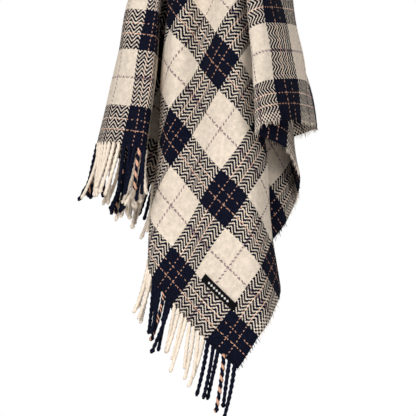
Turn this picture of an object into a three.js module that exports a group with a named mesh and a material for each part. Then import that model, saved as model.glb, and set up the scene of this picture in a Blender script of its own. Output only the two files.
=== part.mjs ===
// Camp blanket, hung from one point over a rounded peg.
//
// A woven wool blanket is a flat rectangle of cloth. Hung from a single point it stays, very
// nearly, at its true distance from that point everywhere, so it takes the shape of a folded
// cone: straight fold lines run out from the hang point and the cloth turns back and forth
// between them. Every piece is laid out flat first, in cloth coordinates (s across the warp, t
// along the warp, both measured from the hang point), and one drape function carries a flat
// point to its place in space, so that all pieces follow the same folds.
//
// Frame: millimetres, +Z up, -Y towards the front, +X right, origin at the hang point.

import * as THREE from 'three';

// ---- driving dimensions, mm ----
const CLOTH_WIDTH = 1355; // between the selvedges
const CLOTH_LENGTH = 1485; // between the fringed ends
const CLOTH_THICKNESS = 2.6;
const HOOK_TO_RIGHT = 712; // hang point to the right selvedge
const HOOK_TO_FRONT = 750; // hang point to the front fringed end
const PEG_RADIUS = 14;
const CROWN_LENGTH = 330; // the gathers open into full folds over this distance
const NAVY_STRIPE = 54.8;
const WIDTH_REPEATS = 10; // navy and cream pairs across the width, before the last navy stripe
const FRINGE_LENGTH = 72;
const FRINGE_THICKNESS = 1.2;
const LASH_LENGTH = 8; // cut weft ends that stand out along a selvedge
const LASH_THICKNESS = 1;
const LABEL_LENGTH = 64;
const LABEL_WIDTH = 11;
const LABEL_THICKNESS = 0.8;
const LABEL_TO_RIGHT = 82; // label centre to the right selvedge
const LABEL_TO_FRONT = 60; // label centre to the front fringed end
const LABEL_RISE = 3; // gap under the label, which bulges off the cloth between its two ends
const STITCH_WIDTH = 1.4;
const STITCH_INSET = 2.5; // stitch bar centre to the label's end
const STITCH_THICKNESS = 0.6;
const CLEARANCE = 0.4; // between pieces that touch
const STRIPE_GAP = 1.2; // between two neighbouring fringe groups, along the hem
const HEM_GAP = 7; // between the hem and what stands out from it

// ---- folds ----
// Each pair is one fold line: how many degrees it leans to the right and to the back from
// straight down. The cloth runs from one to the next, round the front from left to right.
// A fold line leans a little differently near the top and near the hem, so there are two rows.
const UPPER_AT = 560; // distance from the hang point, mm
const LOWER_AT = 960;
const UPPER_START = -2; // angle in the cloth of the first fold line, degrees from the warp
const LOWER_START = -3.6;
const UPPER_FOLDS = [
  [-13.4, -3.0], [-11.3, -4.8], [-9.5, -6.4], [-9.2, -1.0], [-12.0, 0.7], [-3.2, 4.8],
  [-8.9, -3.2], [-6.6, -6.4], [-3.6, -4.2], [-1.6, -7.4], [1.0, -9.6], [3.4, -5.8],
  [1.2, -2.4], [4.4, -1.8], [6.2, 1.4], [6.4, -2.6], [6.2, -9.0], [2.2, -11.6],
  [4.0, -13.4], [6.2, -10.4], [8.8, -4.0], [9.3, 4.0],
];
const LOWER_FOLDS = [
  [-13.1, -3.5], [-10.1, -6.2], [-7.4, -8.2], [-7.6, -1.5], [-12.0, 0.2], [-3.2, 4.8],
  [-7.1, -3.7], [-4.7, -5.6], [-2.5, -7.8], [0.0, -8.6], [2.4, -10.2], [4.5, -6.9],
  [2.4, -3.6], [5.0, -2.6], [6.6, 2.0], [7.4, -2.0], [6.2, -8.8], [1.2, -11.6],
  [4.2, -13.2], [8.0, -10.6], [9.7, -4.0], [9.3, 4.0],
];
const LAST_FOLD = [-13.9, 1.6];
// The rest of the cloth hangs at the back in pleats, on an oval about a common centre.
const RIGHT_RETURN = [[5.0, 6.4], [5.2, 14.2], [2.9, 9.8]]; // behind the right end of the front folds
const RIDGES = [24, 22.6, 24.6, 23.2, 24.8, 23.4, 25]; // how far back each pleat reaches, degrees
const RIDGES_FROM = 2.0; // degrees to the right of the first ridge
const RIDGES_TO = -5.4; // and of the last
const VALLEY_TRIM = [0, 0.9, -0.5, 0.7, -0.3, 0.5]; // what each valley misses of its depth, degrees
const TIP = 0.28; // half width of a pleat's rounded edge, degrees
const LEFT_RETURN = [[-6.3, 7.0]]; // where the cloth comes forward again
const FOLD_SOFTNESS = 2.8; // half width of the stretch over which a fold rounds, degrees

// ---- gathered crown ----
const CROWN_OPENING = 0.17; // how fast the neck widens below the peg
const CROWN_DROP = 0.98;
const CROWN_SHIFT = [-0.03, 0.05]; // how far the neck leans right and back
const CROWN_BEARINGS = [[0, -56], [103.6, 90], [360, 304]]; // cloth angle to bearing, degrees

const HOOK_TO_LEFT = CLOTH_WIDTH - HOOK_TO_RIGHT;
const HOOK_TO_BACK = CLOTH_LENGTH - HOOK_TO_FRONT;
const DEGREE = Math.PI / 180;

function direction([right, back]) {
  return new THREE.Vector3(Math.tan(right * DEGREE), Math.tan(back * DEGREE), -1).normalize();
}

function backPleats(depth) {
  const folds = [...RIGHT_RETURN];
  const step = (RIDGES_TO - RIDGES_FROM) / (RIDGES.length - 1);
  RIDGES.forEach((ridge, k) => {
    const across = RIDGES_FROM + step * k;
    folds.push([across + TIP, ridge], [across - TIP, ridge]);
    if (k < VALLEY_TRIM.length) {
      const valley = RIDGES[0] - depth + VALLEY_TRIM[k];
      const middle = across + step / 2;
      folds.push([middle + TIP, valley], [middle - TIP, valley]);
    }
  });
  return [...folds, ...LEFT_RETURN];
}

// The closed line of fold directions, with the cloth angle reached at each of them.
function foldLine(frontFolds, depth) {
  const points = [...frontFolds, ...backPleats(depth), LAST_FOLD].map(direction);
  points.push(points[0].clone());
  const angles = [0];
  for (let k = 1; k < points.length; k += 1) {
    angles.push(angles[k - 1] + points[k].angleTo(points[k - 1]) / DEGREE);
  }
  return { points, angles };
}

// The back pleats are as deep as it takes for the whole line to hold 360 degrees of cloth.
function solveFolds(frontFolds) {
  let shallow = 4;
  let deep = 20;
  for (let k = 0; k < 50; k += 1) {
    const middle = (shallow + deep) / 2;
    const { angles } = foldLine(frontFolds, middle);
    if (angles[angles.length - 1] > 360) deep = middle;
    else shallow = middle;
  }
  return foldLine(frontFolds, (shallow + deep) / 2);
}

const upperLine = solveFolds(UPPER_FOLDS);
const lowerLine = solveFolds(LOWER_FOLDS);

function wrapDegrees(angle) {
  return ((angle % 360) + 360) % 360;
}

function interpolate(table, x) {
  let k = 1;
  while (k < table.length - 1 && table[k][0] < x) k += 1;
  const [x0, y0] = table[k - 1];
  const [x1, y1] = table[k];
  return y0 + ((y1 - y0) * (x - x0)) / (x1 - x0);
}

function pointOnLine({ points, angles }, angle) {
  let low = 0;
  let high = angles.length - 1;
  while (high - low > 1) {
    const middle = (low + high) >> 1;
    if (angles[middle] <= angle) low = middle;
    else high = middle;
  }
  const share = (angle - angles[low]) / (angles[high] - angles[low]);
  return points[low].clone().lerp(points[high], share);
}

function roundedPoint(line, start, angle) {
  const sum = new THREE.Vector3();
  let total = 0;
  for (let k = -6; k <= 6; k += 1) {
    const weight = 0.5 * (1 + Math.cos((Math.PI * k) / 6)) + 0.001;
    const at = wrapDegrees(angle - start + (k / 6) * FOLD_SOFTNESS);
    sum.addScaledVector(pointOnLine(line, at), weight);
    total += weight;
  }
  return sum.multiplyScalar(1 / total);
}

function smoothStep(x) {
  const c = Math.min(Math.max(x, 0), 1);
  return c * c * (3 - 2 * c);
}

// Carries the flat point (s, t) to its place on the hung blanket's middle layer.
function drape(s, t) {
  const reach = Math.hypot(s, t);
  const angle = Math.atan2(s, t) / DEGREE;
  const low = Math.min(Math.max((reach - UPPER_AT) / (LOWER_AT - UPPER_AT), -0.5), 1.35);
  const folded = roundedPoint(upperLine, UPPER_START, angle)
    .multiplyScalar(1 - low)
    .addScaledVector(roundedPoint(lowerLine, LOWER_START, angle), low)
    .normalize()
    .multiplyScalar(reach);
  const over = Math.min(reach / PEG_RADIUS, Math.PI / 2);
  const run = Math.max(reach - (PEG_RADIUS * Math.PI) / 2, 0);
  const bearing = interpolate(CROWN_BEARINGS, wrapDegrees(angle - LOWER_START)) * DEGREE;
  const neck = PEG_RADIUS * Math.sin(over) + run * CROWN_OPENING;
  const crown = new THREE.Vector3(
    neck * Math.sin(bearing) + run * CROWN_SHIFT[0],
    -neck * Math.cos(bearing) + run * CROWN_SHIFT[1],
    -(PEG_RADIUS * (1 - Math.cos(over)) + run * CROWN_DROP),
  );
  const open = smoothStep((reach - PEG_RADIUS) / (CROWN_LENGTH - PEG_RADIUS));
  return crown.lerp(folded, open);
}

// Unit normal of the hung cloth, towards the side that faces out at the front.
function drapeNormal(s, t) {
  const h = 0.5;
  const alongS = drape(s + h, t).sub(drape(s - h, t));
  const alongT = drape(s, t + h).sub(drape(s, t - h));
  return alongT.cross(alongS).normalize();
}

function hemReach(angle) {
  const s = Math.sin(angle);
  const t = Math.cos(angle);
  const toSide = s > 0 ? HOOK_TO_RIGHT / s : HOOK_TO_LEFT / -s;
  const toEnd = t > 0 ? HOOK_TO_FRONT / t : HOOK_TO_BACK / -t;
  return Math.min(s === 0 ? Infinity : toSide, t === 0 ? Infinity : toEnd);
}

function meshFrom(name, positions, triangles, material) {
  const geometry = new THREE.BufferGeometry();
  geometry.setAttribute('position', new THREE.Float32BufferAttribute(positions, 3));
  geometry.setIndex(triangles);
  geometry.computeVertexNormals();
  const mesh = new THREE.Mesh(geometry, material);
  mesh.name = name;
  return mesh;
}

function cloth(colour) {
  return new THREE.MeshStandardMaterial({ color: colour, roughness: 0.95, metalness: 0 });
}

const creamWool = cloth(0xe8dcc4);
const navyWool = cloth(0x1a2030);
const blackSatin = cloth(0x141416);

// The cloth angles that every piece is cut at, so that neighbours bend at the same places. One
// of them falls on each corner of the cloth.
const CLOTH_STEPS = 300;
const RING_SHARES = [0.015, 0.06, 0.15, 0.28, 0.48, 0.74, 1];

function clothAngles() {
  const corners = [
    Math.atan2(HOOK_TO_RIGHT, HOOK_TO_FRONT), Math.atan2(HOOK_TO_RIGHT, -HOOK_TO_BACK),
    Math.atan2(-HOOK_TO_LEFT, -HOOK_TO_BACK), Math.atan2(-HOOK_TO_LEFT, HOOK_TO_FRONT),
  ];
  const turn = 2 * Math.PI;
  const angles = Array.from({ length: CLOTH_STEPS }, (_, k) => (turn * k) / CLOTH_STEPS - Math.PI);
  for (const corner of corners) {
    const nearest = Math.round(((corner + Math.PI) / turn) * CLOTH_STEPS) % CLOTH_STEPS;
    angles[nearest] = corner;
  }
  return angles;
}

const angles = clothAngles();

// The woven cloth: a closed thin shell of rings from the hang point out to the hem.
function wovenCloth() {
  const positions = [];
  const half = CLOTH_THICKNESS / 2;
  for (const side of [1, -1]) {
    positions.push(0, 0, side * half);
    for (const share of RING_SHARES) {
      for (const angle of angles) {
        const reach = hemReach(angle) * share;
        const s = reach * Math.sin(angle);
        const t = reach * Math.cos(angle);
        const place = drape(s, t).addScaledVector(drapeNormal(s, t), side * half);
        positions.push(place.x, place.y, place.z);
      }
    }
  }
  const perSide = 1 + RING_SHARES.length * CLOTH_STEPS;
  const triangles = [];
  const at = (side, ring, k) => side * perSide + 1 + ring * CLOTH_STEPS + (k % CLOTH_STEPS);
  const face = (a, b, c, flip) => (flip ? triangles.push(a, c, b) : triangles.push(a, b, c));
  for (const side of [0, 1]) {
    for (let k = 0; k < CLOTH_STEPS; k += 1) {
      face(side * perSide, at(side, 0, k + 1), at(side, 0, k), side === 0);
      for (let ring = 0; ring < RING_SHARES.length - 1; ring += 1) {
        const a = at(side, ring, k);
        const b = at(side, ring, k + 1);
        const c = at(side, ring + 1, k + 1);
        const d = at(side, ring + 1, k);
        face(a, b, c, side === 0);
        face(a, c, d, side === 0);
      }
    }
  }
  const hem = RING_SHARES.length - 1;
  for (let k = 0; k < CLOTH_STEPS; k += 1) {
    face(at(0, hem, k), at(0, hem, k + 1), at(1, hem, k + 1), true);
    face(at(0, hem, k), at(1, hem, k + 1), at(1, hem, k), true);
  }
  return meshFrom('woven_cloth', positions, triangles, creamWool);
}

// A closed strip that follows the drape. stations is a list of { near, far } flat points across
// the strip; it lies lift above the cloth's middle layer and is thick through.
function drapedStrip(name, stations, lift, thick, material) {
  const positions = [];
  for (const { near, far } of stations) {
    for (const [s, t] of [near, far]) {
      const normal = drapeNormal(s, t);
      for (const height of [lift - thick / 2, lift + thick / 2]) {
        const place = drape(s, t).addScaledVector(normal, height);
        positions.push(place.x, place.y, place.z);
      }
    }
  }
  const triangles = [];
  const quad = (a, b, c, d) => triangles.push(a, b, c, a, c, d);
  const last = stations.length - 1;
  for (let k = 0; k < last; k += 1) {
    const i = 4 * k;
    const j = i + 4;
    quad(i + 1, j + 1, j + 3, i + 3);
    quad(i, i + 2, j + 2, j);
    quad(i, j, j + 1, i + 1);
    quad(i + 2, i + 3, j + 3, j + 2);
  }
  const end = 4 * last;
  quad(0, 1, 3, 2);
  quad(end, end + 2, end + 3, end + 1);
  return meshFrom(name, positions, turnedOut(positions, triangles), material);
}

// Turns a closed strip's faces to point out of it.
function turnedOut(positions, triangles) {
  const corner = (k) => new THREE.Vector3().fromArray(positions, 3 * triangles[k]);
  let volume = 0;
  for (let k = 0; k < triangles.length; k += 3) {
    volume += corner(k).dot(corner(k + 1).cross(corner(k + 2)));
  }
  return volume < 0 ? [...triangles].reverse() : triangles;
}

// A flat point pushed outward past the hem, in line with the hang point.
function beyond([s, t], distance) {
  const scale = 1 + distance / Math.hypot(s, t);
  return [s * scale, t * scale];
}

function outwardStrip(name, hemPoints, length, thick, material) {
  const stations = hemPoints.map((point) => ({
    near: beyond(point, HEM_GAP), far: beyond(point, HEM_GAP + length),
  }));
  return drapedStrip(name, stations, 0, thick, material);
}

// Points along one straight edge of the cloth, between two flat points on it.
function alongHem(from, to) {
  const angleOf = ([s, t]) => Math.atan2(s, t);
  const turn = 2 * Math.PI;
  const first = angleOf(from);
  const span = (((angleOf(to) - first) % turn) + turn) % turn;
  const between = angles
    .map((angle) => (((angle - first) % turn) + turn) % turn)
    .filter((offset) => offset > 0.002 && offset < span - 0.002)
    .sort((a, b) => a - b)
    .map((offset) => {
      const reach = hemReach(first + offset);
      return [reach * Math.sin(first + offset), reach * Math.cos(first + offset)];
    });
  return [from, ...between, to];
}

function evenly(from, to, longestStep) {
  const count = Math.max(1, Math.ceil(Math.abs(to - from) / longestStep));
  return Array.from({ length: count + 1 }, (_, k) => from + ((to - from) * k) / count);
}

// One group of tassels for each warp stripe at one fringed end.
function fringeGroups(endName, t) {
  const groups = [];
  const repeat = (CLOTH_WIDTH - NAVY_STRIPE) / WIDTH_REPEATS;
  const addGroup = (colourName, number, right, left, material) => {
    const ends = [[left + STRIPE_GAP / 2, t], [right - STRIPE_GAP / 2, t]];
    if (t < 0) ends.reverse();
    const points = alongHem(...ends);
    const name = `${endName}_tassels_${colourName}_${String(number).padStart(2, '0')}`;
    groups.push(outwardStrip(name, points, FRINGE_LENGTH, FRINGE_THICKNESS, material));
  };
  for (let k = 0; k <= WIDTH_REPEATS; k += 1) {
    const right = HOOK_TO_RIGHT - k * repeat;
    const middle = right - NAVY_STRIPE;
    addGroup('navy', k + 1, right, middle, navyWool);
    if (k < WIDTH_REPEATS) addGroup('cream', k + 1, middle, right - repeat, creamWool);
  }
  return groups;
}

function selvedgeLashes(sideName, s) {
  const ends = [[s, HOOK_TO_FRONT - STRIPE_GAP], [s, STRIPE_GAP - HOOK_TO_BACK]];
  if (s < 0) ends.reverse();
  const name = `${sideName}_selvedge_lashes`;
  return outwardStrip(name, alongHem(...ends), LASH_LENGTH, LASH_THICKNESS, creamWool);
}

// The sewn label lies on the front face, its long side along the weft.
const labelLift = CLOTH_THICKNESS / 2 + LABEL_RISE + LABEL_THICKNESS / 2;
const labelS = HOOK_TO_RIGHT - LABEL_TO_RIGHT;
const labelT = HOOK_TO_FRONT - LABEL_TO_FRONT;

function wovenLabel() {
  const stations = evenly(labelS - LABEL_LENGTH / 2, labelS + LABEL_LENGTH / 2, 6).map((s) => ({
    near: [s, labelT - LABEL_WIDTH / 2], far: [s, labelT + LABEL_WIDTH / 2],
  }));
  return drapedStrip('woven_label', stations, labelLift, LABEL_THICKNESS, blackSatin);
}

function labelStitch(endName, side) {
  const middle = labelS + side * (LABEL_LENGTH / 2 - STITCH_INSET);
  const lift = labelLift + LABEL_THICKNESS / 2 + CLEARANCE + STITCH_THICKNESS / 2;
  const halfLength = LABEL_WIDTH / 2 - 1;
  const stations = [middle - STITCH_WIDTH / 2, middle + STITCH_WIDTH / 2].map((s) => ({
    near: [s, labelT - halfLength], far: [s, labelT + halfLength],
  }));
  return drapedStrip(`label_stitch_${endName}`, stations, lift, STITCH_THICKNESS, blackSatin);
}

const blanket = new THREE.Group();
blanket.add(wovenCloth());
blanket.add(...fringeGroups('front', HOOK_TO_FRONT));
blanket.add(...fringeGroups('back', -HOOK_TO_BACK));
blanket.add(selvedgeLashes('right', HOOK_TO_RIGHT));
blanket.add(selvedgeLashes('left', -HOOK_TO_LEFT));
blanket.add(wovenLabel());
blanket.add(labelStitch('left', -1));
blanket.add(labelStitch('right', 1));

export default blanket;
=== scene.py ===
# %% [markdown]
# # A plaid wool camp blanket, hung from one point
#
# The blanket is one flat rectangle of woven wool. Hung from a peg it keeps, very nearly, its
# true distance from the peg everywhere, so it falls into a folded cone. That gives the plan for
# the whole lesson: lay everything out flat, and let one drape function carry the cloth, its
# tassels, its cut weft ends and its label to their places, so that all of them share the folds.

# %% Load the fixed frame
import math

import bpy
import numpy as np
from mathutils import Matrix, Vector


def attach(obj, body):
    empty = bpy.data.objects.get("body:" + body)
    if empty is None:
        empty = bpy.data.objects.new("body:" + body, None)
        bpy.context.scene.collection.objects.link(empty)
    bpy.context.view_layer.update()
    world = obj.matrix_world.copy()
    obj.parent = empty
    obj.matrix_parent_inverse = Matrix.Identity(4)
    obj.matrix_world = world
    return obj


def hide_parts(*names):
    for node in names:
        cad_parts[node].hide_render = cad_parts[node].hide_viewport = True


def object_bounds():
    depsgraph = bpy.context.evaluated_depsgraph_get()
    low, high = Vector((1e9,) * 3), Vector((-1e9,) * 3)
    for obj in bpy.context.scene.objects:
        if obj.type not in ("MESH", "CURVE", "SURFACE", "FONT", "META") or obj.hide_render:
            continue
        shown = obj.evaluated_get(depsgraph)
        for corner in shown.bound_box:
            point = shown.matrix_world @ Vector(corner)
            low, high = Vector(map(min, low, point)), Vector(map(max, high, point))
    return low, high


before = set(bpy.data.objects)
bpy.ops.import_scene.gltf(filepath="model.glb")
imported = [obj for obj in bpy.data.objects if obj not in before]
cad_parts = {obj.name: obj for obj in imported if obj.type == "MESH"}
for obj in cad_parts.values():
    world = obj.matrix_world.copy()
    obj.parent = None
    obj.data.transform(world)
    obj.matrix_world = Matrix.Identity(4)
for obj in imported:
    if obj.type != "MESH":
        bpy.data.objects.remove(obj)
cad_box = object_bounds()

# %% [markdown]
# ## Driving sizes
#
# The sizes are those of the flat blanket, in metres. s runs across the warp, to the right, and
# t along the warp, to the front, both from the hang point. The plaid has 88 threads in a
# repeat, and 37 of them are navy.

# %% Sizes of the flat blanket
CLOTH_WIDTH = 1.355
CLOTH_LENGTH = 1.485
CLOTH_THICKNESS = 0.0026
TO_RIGHT = 0.712
TO_FRONT = 0.750
TO_LEFT = CLOTH_WIDTH - TO_RIGHT
TO_BACK = CLOTH_LENGTH - TO_FRONT
NAVY_STRIPE = 0.0548
STRIPE_REPEAT = (CLOTH_WIDTH - NAVY_STRIPE) / 10
THREADS_IN_REPEAT = 88
NAVY_THREADS = 37
THREAD = STRIPE_REPEAT / THREADS_IN_REPEAT
TASSEL_LENGTH = 0.070
LASH_LENGTH = 0.0065
print(f"one thread every {THREAD * 1000:.2f} mm, one repeat every {STRIPE_REPEAT * 1000:.1f} mm")

# %% [markdown]
# ## The folds
#
# Each pair of numbers is one fold line: how many degrees it leans right and back from straight
# down. The cloth goes from one to the next, round the front from left to right. There are two
# rows because a fold line leans a little differently near the top and near the hem. The cloth
# that is left over hangs in pleats at the back, and a bisection makes those exactly deep enough
# for the whole line to hold 360 degrees of cloth.

# %% Fold tables
UPPER_AT = 0.56
LOWER_AT = 0.96
UPPER_START = -2.0
LOWER_START = -3.6
UPPER_FOLDS = [
    (-13.4, -3.0), (-11.3, -4.8), (-9.5, -6.4), (-9.2, -1.0), (-12.0, 0.7), (-3.2, 4.8),
    (-8.9, -3.2), (-6.6, -6.4), (-3.6, -4.2), (-1.6, -7.4), (1.0, -9.6), (3.4, -5.8),
    (1.2, -2.4), (4.4, -1.8), (6.2, 1.4), (6.4, -2.6), (6.2, -9.0), (2.2, -11.6),
    (4.0, -13.4), (6.2, -10.4), (8.8, -4.0), (9.3, 4.0),
]
LOWER_FOLDS = [
    (-13.1, -3.5), (-10.1, -6.2), (-7.4, -8.2), (-7.6, -1.5), (-12.0, 0.2), (-3.2, 4.8),
    (-7.1, -3.7), (-4.7, -5.6), (-2.5, -7.8), (0.0, -8.6), (2.4, -10.2), (4.5, -6.9),
    (2.4, -3.6), (5.0, -2.6), (6.6, 2.0), (7.4, -2.0), (6.2, -8.8), (1.2, -11.6),
    (4.2, -13.2), (8.0, -10.6), (9.7, -4.0), (9.3, 4.0),
]
LAST_FOLD = (-13.9, 1.6)

# %% Back pleats
RIGHT_RETURN = [(5.0, 6.4), (5.2, 14.2), (2.9, 9.8)]
RIDGES = [24.0, 22.6, 24.6, 23.2, 24.8, 23.4, 25.0]
RIDGES_FROM, RIDGES_TO = 2.0, -5.4
VALLEY_TRIM = [0.0, 0.9, -0.5, 0.7, -0.3, 0.5]
TIP = 0.28
LEFT_RETURN = [(-6.3, 7.0)]
FOLD_SOFTNESS = 2.4
print("front folds:", len(UPPER_FOLDS), "back ridges:", len(RIDGES))


# %% The closed line of fold directions
def direction(lean):
    """Unit vector that leans (right, back) degrees from straight down."""
    v = np.array([math.tan(math.radians(lean[0])), math.tan(math.radians(lean[1])), -1.0])
    return v / np.linalg.norm(v)


def back_pleats(depth):
    """An accordion of pleats, from right to left, each as deep as asked, in degrees."""
    step = (RIDGES_TO - RIDGES_FROM) / (len(RIDGES) - 1)
    folds = list(RIGHT_RETURN)
    for k, ridge in enumerate(RIDGES):
        across = RIDGES_FROM + step * k
        folds += [(across + TIP, ridge), (across - TIP, ridge)]
        if k < len(VALLEY_TRIM):
            valley = 24.0 - depth + VALLEY_TRIM[k]
            middle = across + step / 2
            folds += [(middle + TIP, valley), (middle - TIP, valley)]
    return folds + LEFT_RETURN


def fold_line(front, depth):
    """Directions of all fold lines, and the degrees of cloth used up to each of them."""
    points = [direction(f) for f in [*front, *back_pleats(depth), LAST_FOLD]]
    points = np.array([*points, points[0]])
    steps = np.degrees(np.arccos(np.clip((points[1:] * points[:-1]).sum(1), -1, 1)))
    return points, np.concatenate([[0], np.cumsum(steps)])


def solve_folds(front):
    shallow, deep = 4.0, 20.0
    for _ in range(50):
        depth = (shallow + deep) / 2
        if fold_line(front, depth)[1][-1] > 360:
            deep = depth
        else:
            shallow = depth
    print(f"back pleats are {depth:.1f} degrees deep")
    return fold_line(front, depth)


upper_line = solve_folds(UPPER_FOLDS)
lower_line = solve_folds(LOWER_FOLDS)


# %% [markdown]
# ## The drape function
#
# A flat point at distance r and angle a goes r along the fold direction of a. Folds are rounded
# by averaging the line over a short stretch. Near the peg the folds run into a small dome and a
# neck that opens downwards. A few long soft waves are added, because no real cloth hangs in
# perfect cones.

# %% Carry flat points to the hung blanket
PEG_RADIUS = 0.014
CROWN_LENGTH = 0.33
CROWN_OPENING = 0.17
CROWN_DROP = 0.98
CROWN_SHIFT = (-0.03, 0.05)
CROWN_BEARINGS = ([0, 103.6, 360], [-56, 90, 304])
WAVES = [(0.0016, 31, 17, 0.4), (0.0013, -23, 41, 1.9), (0.0009, 67, -53, 3.1)]


def rounded(line, start, angle):
    points, used = line
    total, weights = 0, 0
    for k in np.linspace(-1, 1, 13):
        weight = 0.5 * (1 + math.cos(math.pi * k)) + 0.001
        at = (angle - start + k * FOLD_SOFTNESS) % 360
        total = total + weight * np.stack([np.interp(at, used, points[:, c]) for c in range(3)], -1)
        weights += weight
    return total / weights


def smooth_step(x):
    x = np.clip(x, 0, 1)
    return x * x * (3 - 2 * x)


def drape(s, t):
    """Places of flat points (s, t) on the middle layer of the hung cloth."""
    s, t = np.asarray(s, float), np.asarray(t, float)
    reach, angle = np.hypot(s, t), np.degrees(np.arctan2(s, t))
    low = np.clip((reach - UPPER_AT) / (LOWER_AT - UPPER_AT), -0.5, 1.35)[..., None]
    folded = rounded(upper_line, UPPER_START, angle) * (1 - low)
    folded = folded + rounded(lower_line, LOWER_START, angle) * low
    folded = folded / np.linalg.norm(folded, axis=-1, keepdims=True) * reach[..., None]
    over = np.minimum(reach / PEG_RADIUS, math.pi / 2)
    run = np.maximum(reach - PEG_RADIUS * math.pi / 2, 0)
    bearing = np.radians(np.interp((angle - LOWER_START) % 360, *CROWN_BEARINGS))
    neck = PEG_RADIUS * np.sin(over) + run * CROWN_OPENING
    crown = np.stack([
        neck * np.sin(bearing) + run * CROWN_SHIFT[0],
        -neck * np.cos(bearing) + run * CROWN_SHIFT[1],
        -(PEG_RADIUS * (1 - np.cos(over)) + run * CROWN_DROP),
    ], -1)
    opened = smooth_step((reach - PEG_RADIUS) / (CROWN_LENGTH - PEG_RADIUS))[..., None]
    return crown * (1 - opened) + folded * opened


# %% Normals and soft waves
def normal_at(s, t):
    """Unit normal towards the face that looks out at the front."""
    h = 0.0006
    along_s = drape(s + h, t) - drape(s - h, t)
    along_t = drape(s, t + h) - drape(s, t - h)
    n = np.cross(along_t, along_s)
    return n / np.linalg.norm(n, axis=-1, keepdims=True)


def hang(s, t, lift=0.0):
    """Places of flat points on the hung cloth, with its soft waves, lifted off its middle."""
    s, t = np.asarray(s, float), np.asarray(t, float)
    wave = sum(a * np.sin(u * s + v * t + p) for a, u, v, p in WAVES)
    wave = wave * smooth_step((np.hypot(s, t) - 0.15) / 0.3)
    return drape(s, t) + normal_at(s, t) * (wave + lift)[..., None]


corner = hang(TO_RIGHT, TO_FRONT)
print("the front right corner hangs at", corner.round(3))

# %% [markdown]
# ## Camera, light and floor
#
# A long lens far back keeps the folds' angles true. The camera sees a white sky, but the sky
# lights the cloth less than it looks. A large soft lamp from the front left does the rest, with
# a weaker one on the right and one behind. That leaves the deep folds darker.

# %% Camera
VIEW_WIDTH = 0.5575
CAMERA_DISTANCE = 4.0
CAMERA_AT = (-0.028, -CAMERA_DISTANCE, -0.815)
bpy.ops.object.select_all(action="DESELECT")
bpy.ops.object.camera_add(location=CAMERA_AT, rotation=(math.radians(90), 0, 0))
camera = bpy.context.object
camera.name = "studio_camera"
camera.data.sensor_width = 36
camera.data.lens = 36 * CAMERA_DISTANCE / VIEW_WIDTH
camera.data.clip_end = 60
bpy.context.scene.camera = camera
print(f"lens {camera.data.lens:.0f} mm")


# %% Lights and floor
SKY_LIGHT = 0.42


def area_light(name, location, aim, size, power):
    bpy.ops.object.light_add(type="AREA", location=location)
    lamp = bpy.context.object
    lamp.name = name
    lamp.data.size = size
    lamp.data.energy = power
    lamp.rotation_euler = (Vector(aim) - Vector(location)).to_track_quat("-Z", "Y").to_euler()
    return lamp


area_light("key_light", (-1.5, -2.8, 0.3), (0, 0, -0.75), 1.2, 80)
area_light("fill_light", (1.9, -2.6, -0.5), (0, 0, -0.8), 1.4, 20)
area_light("back_light", (0.6, 2.8, 0.8), (0, 0, -0.6), 2.0, 80)

world = bpy.data.worlds.new("white_studio")
bpy.context.scene.world = world
world.use_nodes = True
world.node_tree.nodes["Background"].inputs["Color"].default_value = (1, 1, 1, 1)
sky = world.node_tree
seen = sky.nodes.new("ShaderNodeLightPath").outputs["Is Camera Ray"]
strength = sky.nodes.new("ShaderNodeMath")
strength.operation = "MULTIPLY_ADD"
strength.inputs[1].default_value = 1.0 - SKY_LIGHT
strength.inputs[2].default_value = SKY_LIGHT
sky.links.new(seen, strength.inputs[0])
sky.links.new(strength.outputs[0], sky.nodes["Background"].inputs["Strength"])
bpy.context.scene.view_settings.view_transform = "Standard"

FLOOR_Z = cad_box[0].z - 0.16
bpy.ops.mesh.primitive_circle_add(vertices=96, radius=1.5, fill_type="NGON", location=(0, 0, FLOOR_Z))
floor = bpy.context.object
floor.name = "floor"
print(f"floor at {FLOOR_Z:.2f} m")


# %% [markdown]
# ## Finishes
#
# Everything on the blanket is coloured by the same yarn plan, so that plan is a shader group:
# it takes a distance from the edge and gives the colour of the thread there. A second group
# weaves: it says which thread lies on top in a two-over-two herringbone, with a basket weave at
# the selvedges, how high it is, and how much painted shade darkens the gaps between threads. A third adds
# the fuzz of carded wool.
# Navy threads are drawn fuller than cream ones. That share was chosen for how dark the
# twill should read, and is not a fact about the yarn.

# %% Helpers for node groups
def new_group(name, inputs, outputs):
    group = bpy.data.node_groups.new(name, "ShaderNodeTree")
    for label, kind, value in inputs:
        socket = group.interface.new_socket(label, in_out="INPUT", socket_type=kind)
        socket.default_value = value
    for label, kind in outputs:
        group.interface.new_socket(label, in_out="OUTPUT", socket_type=kind)
    return group, group.nodes.new("NodeGroupInput"), group.nodes.new("NodeGroupOutput")


def math_node(tree, operation, *values, clamp=False):
    """A Math node. Each value is a number or a socket to read."""
    node = tree.nodes.new("ShaderNodeMath")
    node.operation = operation
    node.use_clamp = clamp
    for socket, value in zip(node.inputs, values):
        if isinstance(value, (int, float)):
            socket.default_value = value
        else:
            tree.links.new(value, socket)
    return node.outputs[0]


def mix_colour(tree, factor, a, b, blend="MIX"):
    node = tree.nodes.new("ShaderNodeMix")
    node.data_type = "RGBA"
    node.blend_type = blend
    for socket, value in ((node.inputs[0], factor), (node.inputs[6], a), (node.inputs[7], b)):
        if isinstance(value, (int, float, tuple)):
            socket.default_value = value
        else:
            tree.links.new(value, socket)
    return node.outputs[2]


def noise(tree, vector, scale, detail=2.0):
    node = tree.nodes.new("ShaderNodeTexNoise")
    node.inputs["Scale"].default_value = scale
    node.inputs["Detail"].default_value = detail
    tree.links.new(vector, node.inputs["Vector"])
    return node.outputs["Fac"]


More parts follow.
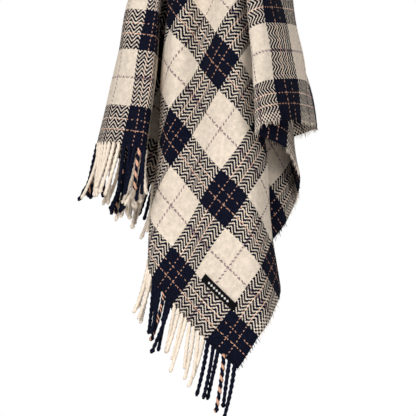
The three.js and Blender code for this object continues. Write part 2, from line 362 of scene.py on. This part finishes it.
# %% Yarn plan: the colour of each thread
CREAM = (0.82, 0.705, 0.58, 1)
NAVY = (0.0035, 0.0045, 0.013, 1)
PEACH = (0.62, 0.34, 0.23, 1)
MAUVE = (0.30, 0.20, 0.21, 1)
PEACH_THREADS = (14.0, 24.0)
MAUVE_THREAD = 62.5


def make_yarn_plan():
    group, entry, out = new_group(
        "yarn_plan", [("Distance", "NodeSocketFloat", 0.0)],
        [("Color", "NodeSocketColor"), ("Navy", "NodeSocketFloat")],
    )
    number = math_node(group, "FLOOR", math_node(group, "DIVIDE", entry.outputs[0], THREAD))
    in_repeat = math_node(group, "FLOORED_MODULO", number, THREADS_IN_REPEAT)
    navy = math_node(group, "LESS_THAN", in_repeat, NAVY_THREADS - 0.5)
    colour = mix_colour(group, navy, CREAM, NAVY)
    for place in PEACH_THREADS:
        here = math_node(group, "COMPARE", in_repeat, place, 0.6)
        colour = mix_colour(group, here, colour, PEACH)
        navy = math_node(group, "SUBTRACT", navy, here)
    here = math_node(group, "COMPARE", in_repeat, MAUVE_THREAD, 0.6)
    colour = mix_colour(group, here, colour, MAUVE)
    group.links.new(colour, out.inputs["Color"])
    group.links.new(navy, out.inputs["Navy"])
    return group


yarn_plan = make_yarn_plan()
print("yarn plan nodes:", len(yarn_plan.nodes))

# %% Herringbone: which thread lies on top
COLUMN_THREADS = 6
SELVEDGE = 0.011


def make_herringbone():
    group, entry, out = new_group(
        "herringbone",
        [
            ("Across", "NodeSocketFloat", 0.0), ("Along", "NodeSocketFloat", 0.0),
            ("Warp Navy", "NodeSocketFloat", 0.0), ("Weft Navy", "NodeSocketFloat", 0.0),
        ],
        [("Warp On Top", "NodeSocketFloat"), ("Height", "NodeSocketFloat"), ("Painted Gap Shade", "NodeSocketFloat")],
    )
    across = math_node(group, "DIVIDE", entry.outputs[0], THREAD)
    along = math_node(group, "DIVIDE", entry.outputs[1], THREAD)
    warp = math_node(group, "FLOOR", across)
    slope = math_node(group, "PINGPONG", math_node(group, "ADD", warp, 0.5), COLUMN_THREADS)
    slope = math_node(group, "FLOOR", slope)
    step = math_node(group, "FLOORED_MODULO", math_node(group, "ADD", along, slope), 4)
    fuller = math_node(group, "SUBTRACT", entry.outputs["Warp Navy"], entry.outputs["Weft Navy"])
    float_length = math_node(group, "MULTIPLY_ADD", fuller, 0.65, 2.0)
    twill = math_node(group, "LESS_THAN", step, float_length)
    pairs = math_node(group, "FLOOR", math_node(group, "MULTIPLY", across, 0.5))
    picks = math_node(group, "FLOOR", math_node(group, "MULTIPLY", along, 0.5))
    basket = math_node(group, "FLOORED_MODULO", math_node(group, "ADD", pairs, picks), 2)
    from_left = math_node(group, "SUBTRACT", CLOTH_WIDTH, entry.outputs["Across"])
    to_edge = math_node(group, "MINIMUM", entry.outputs["Across"], from_left)
    edge = math_node(group, "LESS_THAN", to_edge, SELVEDGE)
    not_edge = math_node(group, "MULTIPLY", twill, math_node(group, "SUBTRACT", 1.0, edge))
    on_top = math_node(group, "MULTIPLY_ADD", edge, basket, not_edge)

    def roundness(x):
        centred = math_node(group, "SUBTRACT", math_node(group, "FRACT", x), 0.5)
        centred = math_node(group, "ABSOLUTE", centred)
        return math_node(group, "SUBTRACT", 1.0, math_node(group, "MULTIPLY", centred, 1.7))

    warp_round = math_node(group, "MULTIPLY", roundness(across), on_top)
    under = math_node(group, "SUBTRACT", 1.0, on_top)
    weft_round = math_node(group, "MULTIPLY", roundness(along), under)
    height = math_node(group, "ADD", warp_round, weft_round)
    # Painted shade: this mask is strongest in the gaps between the rounded threads, where the colour is
    # later darkened.
    gap_shade = math_node(group, "SUBTRACT", 1.0, height, clamp=True)
    group.links.new(on_top, out.inputs[0])
    group.links.new(height, out.inputs[1])
    group.links.new(gap_shade, out.inputs[2])
    return group


herringbone = make_herringbone()
print("herringbone nodes:", len(herringbone.nodes))


# %% Wool fuzz: uneven dye and loose fibre
def make_wool_fuzz():
    group, entry, out = new_group(
        "wool_fuzz",
        [("Color", "NodeSocketColor", (1, 1, 1, 1)), ("Amount", "NodeSocketFloat", 0.2)],
        [("Color", "NodeSocketColor"), ("Fuzz", "NodeSocketFloat")],
    )
    place = group.nodes.new("ShaderNodeTexCoord").outputs["Object"]
    fibre = noise(group, place, 900, 3)
    slub = noise(group, place, 160, 2)
    cloudy = noise(group, place, 14, 2)
    spread = math_node(group, "SUBTRACT", math_node(group, "ADD", fibre, slub), 1.0)
    drift = math_node(group, "MULTIPLY", math_node(group, "SUBTRACT", cloudy, 0.5), 0.5)
    spread = math_node(group, "ADD", spread, drift)
    shade = math_node(group, "ADD", 1.0, math_node(group, "MULTIPLY", spread, entry.outputs["Amount"]))
    grey = group.nodes.new("ShaderNodeCombineColor")
    for channel in grey.inputs:
        group.links.new(shade, channel)
    varied = mix_colour(group, 1.0, entry.outputs["Color"], grey.outputs[0], "MULTIPLY")
    speck = math_node(group, "MULTIPLY", math_node(group, "SUBTRACT", fibre, 0.52), 5.0, clamp=True)
    varied = mix_colour(group, speck, varied, (0.010, 0.012, 0.022, 1), "ADD")
    group.links.new(varied, out.inputs["Color"])
    group.links.new(fibre, out.inputs["Fuzz"])
    return group


wool_fuzz = make_wool_fuzz()
print("wool fuzz nodes:", len(wool_fuzz.nodes))


# %% [markdown]
# The cloth material reads the flat layout from the mesh's own UV map, in metres from the front
# right corner, so the plaid follows every fold. The tassels and cut ends use the same yarn plan
# with the distance of their own thread.

# %% Materials
def new_material(name, roughness, sheen):
    material = bpy.data.materials.new(name)
    material.use_nodes = True
    shader = material.node_tree.nodes["Principled BSDF"]
    shader.inputs["Roughness"].default_value = roughness
    shader.inputs["Sheen Weight"].default_value = sheen
    shader.inputs["Sheen Roughness"].default_value = 0.6
    shader.inputs["Specular IOR Level"].default_value = 0.03
    return material, material.node_tree, shader


def place_group(tree, group):
    node = tree.nodes.new("ShaderNodeGroup")
    node.node_tree = group
    return node


def flat_place(tree):
    """The two flat coordinates of the FlatCloth map, in metres from the front right corner."""
    layout = tree.nodes.new("ShaderNodeUVMap")
    layout.uv_map = "FlatCloth"
    split = tree.nodes.new("ShaderNodeSeparateXYZ")
    tree.links.new(layout.outputs[0], split.inputs[0])
    return split.outputs[0], split.outputs[1]


def bump(tree, shader, height, distance, strength):
    node = tree.nodes.new("ShaderNodeBump")
    node.inputs["Distance"].default_value = distance
    node.inputs["Strength"].default_value = strength
    tree.links.new(height, node.inputs["Height"])
    tree.links.new(node.outputs[0], shader.inputs["Normal"])


# %% Plaid wool
def make_plaid_wool():
    material, tree, shader = new_material("plaid_wool", 0.95, 0.01)
    across, along = flat_place(tree)
    warp, weft = place_group(tree, yarn_plan), place_group(tree, yarn_plan)
    tree.links.new(across, warp.inputs[0])
    tree.links.new(along, weft.inputs[0])
    weave = place_group(tree, herringbone)
    place = tree.nodes.new("ShaderNodeTexCoord").outputs["Object"]
    wander = math_node(tree, "MULTIPLY_ADD", noise(tree, place, 420, 1), THREAD * 1.1, -THREAD * 0.55)
    tree.links.new(math_node(tree, "ADD", across, wander), weave.inputs["Across"])
    tree.links.new(math_node(tree, "ADD", along, wander), weave.inputs["Along"])
    tree.links.new(warp.outputs["Navy"], weave.inputs["Warp Navy"])
    tree.links.new(weft.outputs["Navy"], weave.inputs["Weft Navy"])
    woven = mix_colour(tree, weave.outputs["Warp On Top"], weft.outputs["Color"], warp.outputs["Color"])
    # Painted shade: in the gaps between threads the colour is multiplied towards dark brown.
    gap_shade = math_node(tree, "MULTIPLY", weave.outputs["Painted Gap Shade"], 0.3)
    shaded = mix_colour(tree, gap_shade, woven, (0.10, 0.075, 0.06, 1), "MULTIPLY")
    fuzz = place_group(tree, wool_fuzz)
    fuzz.inputs["Amount"].default_value = 0.50
    tree.links.new(shaded, fuzz.inputs["Color"])
    tree.links.new(fuzz.outputs["Color"], shader.inputs["Base Color"])
    nap = math_node(tree, "MULTIPLY", fuzz.outputs["Fuzz"], 0.6)
    relief = math_node(tree, "ADD", weave.outputs["Height"], nap)
    bump(tree, shader, relief, 0.0006, 0.7)
    return material


# %% Yarn of the tassels and cut ends
def make_yarn():
    material, tree, shader = new_material("twisted_yarn", 0.95, 0.015)
    across, _ = flat_place(tree)
    plan = place_group(tree, yarn_plan)
    tree.links.new(across, plan.inputs[0])
    fuzz = place_group(tree, wool_fuzz)
    fuzz.inputs["Amount"].default_value = 0.5
    tree.links.new(plan.outputs["Color"], fuzz.inputs["Color"])
    tree.links.new(fuzz.outputs["Color"], shader.inputs["Base Color"])
    bump(tree, shader, fuzz.outputs["Fuzz"], 0.0005, 0.6)
    return material


plaid_wool = make_plaid_wool()
twisted_yarn = make_yarn()
print("finishes:", [m.name for m in (plaid_wool, twisted_yarn)])


# %% [markdown]
# ## The woven cloth
#
# The sheet is a polar grid: rings of points round the hang point, out to the edges of the
# rectangle. Columns are about half a degree apart, so each fold gets several, and one column
# falls on each corner. A Solidify modifier gives the thickness. On the real blanket this is one
# loom-woven cloth. It could also be a cloth simulation, but that would settle differently from
# the frame, and here the plaid has to follow the same folds as everything sewn or knotted to it.
# The drape takes no account of other layers. In the gathered neck they lie closer than the cloth
# is thick, and a few cross. Lower down the soft waves push a few back pleats through each other
# and turn the cloth over in small loops at tight fold edges, which a real blanket can't do.

# %% Build the cloth
def new_mesh(name, points, faces, flat):
    """A mesh object with the FlatCloth map. flat holds (s, t) of each point."""
    mesh = bpy.data.meshes.new(name)
    mesh.from_pydata([tuple(p) for p in points], [], faces)
    layer = mesh.uv_layers.new(name="FlatCloth")
    corners = np.zeros(len(mesh.loops), np.int32)
    mesh.loops.foreach_get("vertex_index", corners)
    uv = np.asarray(flat, float)[corners]
    layer.data.foreach_set("uv", np.column_stack([TO_RIGHT - uv[:, 0], TO_FRONT - uv[:, 1]]).ravel())
    mesh.polygons.foreach_set("use_smooth", [True] * len(mesh.polygons))
    thing = bpy.data.objects.new(name, mesh)
    bpy.context.collection.objects.link(thing)
    return thing


def apply_modifier(thing, kind, **settings):
    bpy.ops.object.select_all(action="DESELECT")
    thing.select_set(True)
    bpy.context.view_layer.objects.active = thing
    modifier = thing.modifiers.new(kind.lower(), kind)
    for key, value in settings.items():
        setattr(modifier, key, value)
    bpy.ops.object.modifier_apply(modifier=modifier.name)


def edge_reach(angle):
    """Distance from the hang point to the rectangle's edge, at an angle in the flat cloth."""
    s, t = np.sin(angle), np.cos(angle)
    side = np.where(s > 0, TO_RIGHT, TO_LEFT) / np.maximum(np.abs(s), 1e-9)
    end = np.where(t > 0, TO_FRONT, TO_BACK) / np.maximum(np.abs(t), 1e-9)
    return np.minimum(side, end)


# %% Lay the polar grid and hang it
COLUMNS = 680
RING_COUNT = 58


def make_cloth():
    angles = np.linspace(-math.pi, math.pi, COLUMNS, endpoint=False)
    for s, t in ((TO_RIGHT, TO_FRONT), (TO_RIGHT, -TO_BACK), (-TO_LEFT, -TO_BACK), (-TO_LEFT, TO_FRONT)):
        angles[np.argmin(np.abs(angles - math.atan2(s, t)))] = math.atan2(s, t)
    shares = 0.01 + 0.99 * np.linspace(0, 1, RING_COUNT) ** 1.15
    reach = shares[:, None] * edge_reach(angles)[None, :]
    s, t = (reach * np.sin(angles)).ravel(), (reach * np.cos(angles)).ravel()
    points = np.vstack([hang(s, t), [[0, 0, 0]]])
    flat = np.vstack([np.column_stack([s, t]), [[0, 0]]])
    faces = []
    for ring in range(RING_COUNT - 1):
        for k in range(COLUMNS):
            n = (k + 1) % COLUMNS
            a, b = ring * COLUMNS, (ring + 1) * COLUMNS
            faces.append((a + k, a + n, b + n, b + k))
    top = len(points) - 1
    faces += [(top, (k + 1) % COLUMNS, k) for k in range(COLUMNS)]
    cloth = new_mesh("woven_cloth_visual", points, faces, flat)
    apply_modifier(cloth, "SOLIDIFY", thickness=CLOTH_THICKNESS, offset=0)
    cloth.data.materials.append(plaid_wool)
    return cloth


cloth = make_cloth()
print("cloth faces:", len(cloth.data.polygons))

# %% [markdown]
# ## The tassels
#
# At each fringed end the warp threads are gathered six or seven at a time and twisted into
# cords with a knotted tip. A cord is a tube with a waisted section that turns as it goes down,
# so the two plies show. It starts just inside the hem, hangs nearly plumb, and leans and curls
# a little by chance. A curve with a bevel would also do, but a tube in code can turn its section
# and carry the colour of its own thread. Tassels are not kept clear of each other.

# %% Build one group of tassels for each warp stripe
NAVY_TASSELS = 6
CREAM_TASSELS = 8
TASSEL_SIDES = 6
TASSEL_RINGS = 20
PLY_TURN = 15.0
TASSEL_RADIUS = 0.0034
KNOT_RADIUS = 0.0040
chance = np.random.default_rng(7)


def tassel(s, t):
    """Points, faces and flat places of one twisted tassel that starts at the hem at (s, t)."""
    scale = (math.hypot(s, t) - 0.004) / math.hypot(s, t)
    root = hang(s * scale, t * scale)
    ray = root - hang(s * scale * 0.97, t * scale * 0.97)
    ray = ray / np.linalg.norm(ray)
    lean = np.array([chance.normal(-0.13, 0.06), chance.normal(-0.02, 0.06), 0])
    aim = 0.12 * ray + np.array([0, 0, -0.88]) + lean
    aim = aim / np.linalg.norm(aim)
    curl = np.array([chance.normal(-0.002, 0.006), chance.normal(0, 0.005), 0])
    length = TASSEL_LENGTH * chance.uniform(0.85, 1.08)
    side = np.cross(aim, [0.0, 1.0, 0.0])
    side = side / np.linalg.norm(side)
    front = np.cross(side, aim)
    phase = chance.uniform(0, math.tau)
    points, flat = [], []
    for ring in range(TASSEL_RINGS + 1):
        share = ring / TASSEL_RINGS
        centre = root + aim * length * share + curl * share * share
        twist = phase + share * length * 1000 / PLY_TURN * math.tau
        radius = TASSEL_RADIUS * (1 - 0.18 * share)
        if share > 0.9:
            radius = KNOT_RADIUS * math.sin(math.pi * (0.55 + (share - 0.9) * 3.6)) + 0.0007
        for k in range(TASSEL_SIDES):
            a = math.tau * k / TASSEL_SIDES
            waist = radius * (0.84 + 0.16 * math.cos(2 * a))
            b = a + twist
            points.append(centre + waist * (math.cos(b) * side + math.sin(b) * front))
            flat.append((s + (k % 3 - 1) * THREAD * (1 if k < 3 else -1), t))
    faces = []
    for ring in range(TASSEL_RINGS):
        for k in range(TASSEL_SIDES):
            n = (k + 1) % TASSEL_SIDES
            a, b = ring * TASSEL_SIDES, (ring + 1) * TASSEL_SIDES
            faces.append((a + k, a + n, b + n, b + k))
    last = TASSEL_RINGS * TASSEL_SIDES
    faces.append(tuple(range(TASSEL_SIDES))[::-1])
    faces.append(tuple(last + k for k in range(TASSEL_SIDES)))
    return points, faces, flat


# %% Gather the tassels into groups
def tassel_group(node, right, left, count, t):
    points, faces, flat = [], [], []
    for k in range(count):
        s = right + (left - right) * (k + 0.5) / count + chance.uniform(-0.0008, 0.0008)
        more_points, more_faces, more_flat = tassel(s, t)
        faces += [tuple(i + len(points) for i in f) for f in more_faces]
        points += more_points
        flat += more_flat
    group = new_mesh(node + "_twisted", points, faces, flat)
    group.data.materials.append(twisted_yarn)
    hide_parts(node)
    return group


fringe = []
for end, t in (("front", TO_FRONT), ("back", -TO_BACK)):
    for k in range(11):
        right = TO_RIGHT - k * STRIPE_REPEAT
        middle = right - NAVY_STRIPE
        fringe.append(tassel_group(f"{end}_tassels_navy_{k + 1:02d}", right, middle, NAVY_TASSELS, t))
        if k < 10:
            left = right - STRIPE_REPEAT
            fringe.append(tassel_group(f"{end}_tassels_cream_{k + 1:02d}", middle, left, CREAM_TASSELS, t))
print("tassel groups:", len(fringe))

# %% [markdown]
# ## The cut weft ends
#
# Along each selvedge the weft was cut, so short ends stand out every few threads, each in the
# colour of its own weft thread. Each is a thin three-sided spike, bent by chance. A hair system
# would give more of them, but these few faces each are enough for a ragged edge.

# %% Build the lashes of both selvedges
LASH_STEP = THREAD * 2
LASH_RADIUS = 0.0006


def make_lashes(side, s):
    points, faces, flat = [], [], []
    t = TO_FRONT - 0.001
    outward = 1 if s > 0 else -1
    while t > -TO_BACK + 0.001:
        root = hang(s - outward * 0.002, t)
        aim = hang(s + outward * 0.004, t) - root
        aim = aim / np.linalg.norm(aim)
        stray = [chance.normal(0, 0.25), chance.normal(0, 0.25), chance.normal(-0.25, 0.25)]
        aim = aim + np.array(stray)
        aim = aim / np.linalg.norm(aim)
        droop = np.array([0, 0, -0.002])
        length = LASH_LENGTH * chance.uniform(0.45, 1.1)
        across = np.cross(aim, [0.13, 0.9, 0.41])
        across = across / np.linalg.norm(across)
        other = np.cross(across, aim)
        base = len(points)
        for ring, thick in ((0, 1.0), (0.55, 0.85), (1.0, 0.35)):
            centre = root + aim * length * ring + droop * ring * ring
            for k in range(3):
                a = math.tau * k / 3
                spoke = math.cos(a) * across + math.sin(a) * other
                points.append(centre + LASH_RADIUS * thick * spoke)
                flat.append((TO_RIGHT - (TO_FRONT - t), t))
        for ring in range(2):
            for k in range(3):
                n = (k + 1) % 3
                a, b = base + ring * 3, base + ring * 3 + 3
                faces.append((a + k, b + k, b + n, a + n))
        faces.append((base, base + 1, base + 2))
        faces.append((base + 8, base + 7, base + 6))
        t -= LASH_STEP * chance.uniform(0.7, 1.3)
    lashes = new_mesh(f"{side}_cut_weft_ends", points, faces, flat)
    lashes.data.materials.append(twisted_yarn)
    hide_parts(f"{side}_selvedge_lashes")
    return lashes


lashes = [make_lashes("right", TO_RIGHT), make_lashes("left", -TO_LEFT)]
print("cut ends:", [len(x.data.polygons) // 8 for x in lashes])

# %% [markdown]
# ## The sewn label
#
# A short black woven tape lies on the cloth near the corner, held at its two ends, so its
# middle bulges. It starts as a flat slab at its place in the flat layout, and the drape carries
# it onto the cloth. Its face has a row of small diamonds, drawn in the material, because marks
# this small need no shape of their own.

# %% Label finish
LABEL_LENGTH = 0.064
LABEL_WIDTH = 0.011
LABEL_S = TO_RIGHT - 0.082
LABEL_T = TO_FRONT - 0.060
LABEL_BULGE = 0.002


def make_label_satin():
    material, tree, shader = new_material("label_satin", 0.6, 0.0)
    across, along = flat_place(tree)
    x = math_node(tree, "SUBTRACT", across, TO_RIGHT - LABEL_S)
    y = math_node(tree, "SUBTRACT", along, TO_FRONT - LABEL_T)
    pitch = 0.0052
    in_cell = math_node(tree, "FLOORED_MODULO", x, pitch)
    cell = math_node(tree, "ABSOLUTE", math_node(tree, "SUBTRACT", in_cell, pitch / 2))
    reach = math_node(tree, "ADD", cell, math_node(tree, "ABSOLUTE", y))
    diamond = math_node(tree, "LESS_THAN", reach, 0.0019)
    inside = math_node(tree, "LESS_THAN", math_node(tree, "ABSOLUTE", x), 0.0215)
    mark = math_node(tree, "MULTIPLY", diamond, inside)
    rib = math_node(tree, "SINE", math_node(tree, "MULTIPLY", x, 9000))
    colour = mix_colour(tree, mark, (0.004, 0.004, 0.005, 1), (0.62, 0.60, 0.56, 1))
    tree.links.new(colour, shader.inputs["Base Color"])
    bump(tree, shader, math_node(tree, "ADD", rib, math_node(tree, "MULTIPLY", mark, 2.0)), 0.0002, 0.4)
    return material


label_satin = make_label_satin()
print("label finish:", label_satin.name)


# %% Build the label and its stitches
def lay_on_cloth(thing, lift_of):
    """Carries a mesh laid out flat, x = s and y = t and z = height, onto the hung cloth."""
    points = np.array([v.co for v in thing.data.vertices])
    s, t = points[:, 0], points[:, 1]
    places = hang(s, t, CLOTH_THICKNESS / 2 + points[:, 2] + lift_of(s, t))
    layer = thing.data.uv_layers.new(name="FlatCloth")
    for loop in thing.data.loops:
        layer.data[loop.index].uv = (TO_RIGHT - s[loop.vertex_index], TO_FRONT - t[loop.vertex_index])
    for vertex, place in zip(thing.data.vertices, places):
        vertex.co = place


def label_lift(s, t):
    share = np.clip(np.abs(s - LABEL_S) / (LABEL_LENGTH / 2), 0, 1)
    return LABEL_BULGE * (1 - share**2)


bpy.ops.object.select_all(action="DESELECT")
bpy.ops.mesh.primitive_cube_add(size=1, location=(LABEL_S, LABEL_T, 0.0008))
label = bpy.context.object
label.name = "sewn_label"
label.scale = (LABEL_LENGTH, LABEL_WIDTH, 0.0007)
bpy.ops.object.transform_apply(location=True, rotation=True, scale=True)
bpy.ops.object.mode_set(mode="EDIT")
bpy.ops.mesh.select_all(action="SELECT")
bpy.ops.mesh.bevel(offset=0.00025, segments=2)
bpy.ops.mesh.select_all(action="SELECT")
bpy.ops.mesh.subdivide(number_cuts=9)
bpy.ops.object.mode_set(mode="OBJECT")
for old in list(label.data.uv_layers):
    label.data.uv_layers.remove(old)
lay_on_cloth(label, label_lift)
label.data.materials.append(label_satin)
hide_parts("woven_label")
print("label faces:", len(label.data.polygons))


# %% Stitch bars
STITCH_RADIUS = 0.0004
STITCH_LENGTH = 0.0026


def make_stitch_bar(end, side):
    """Four short stitches side by side across one end of the label."""
    bars = []
    for k in range(4):
        bpy.ops.object.select_all(action="DESELECT")
        bpy.ops.mesh.primitive_cylinder_add(
            vertices=8, radius=STITCH_RADIUS, depth=STITCH_LENGTH, rotation=(0, math.radians(90), 0)
        )
        bar = bpy.context.object
        bar.location = (
            LABEL_S + side * (LABEL_LENGTH / 2 - 0.0012),
            LABEL_T + (k - 1.5) * LABEL_WIDTH / 4.6,
            0.0014,
        )
        bpy.ops.object.transform_apply(location=True, rotation=True, scale=True)
        bars.append(bar)
    for bar in bars:
        bar.select_set(True)
    bpy.context.view_layer.objects.active = bars[0]
    bpy.ops.object.join()
    stitches = bpy.context.object
    stitches.name = f"label_thread_{end}"
    apply_modifier(stitches, "BEVEL", width=0.00015, segments=2)
    for old in list(stitches.data.uv_layers):
        stitches.data.uv_layers.remove(old)
    lay_on_cloth(stitches, label_lift)
    stitches.data.materials.append(label_satin)
    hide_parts(f"label_stitch_{end}")
    return stitches


stitch_bars = [make_stitch_bar("left", -1), make_stitch_bar("right", 1)]
print("stitch bars:", [x.name for x in stitch_bars])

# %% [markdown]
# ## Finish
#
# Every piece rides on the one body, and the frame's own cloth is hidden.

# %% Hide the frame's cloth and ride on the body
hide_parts("woven_cloth")
trim = [*fringe, *lashes, label, *stitch_bars]
for piece in [cloth, *trim]:
    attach(piece, "root")
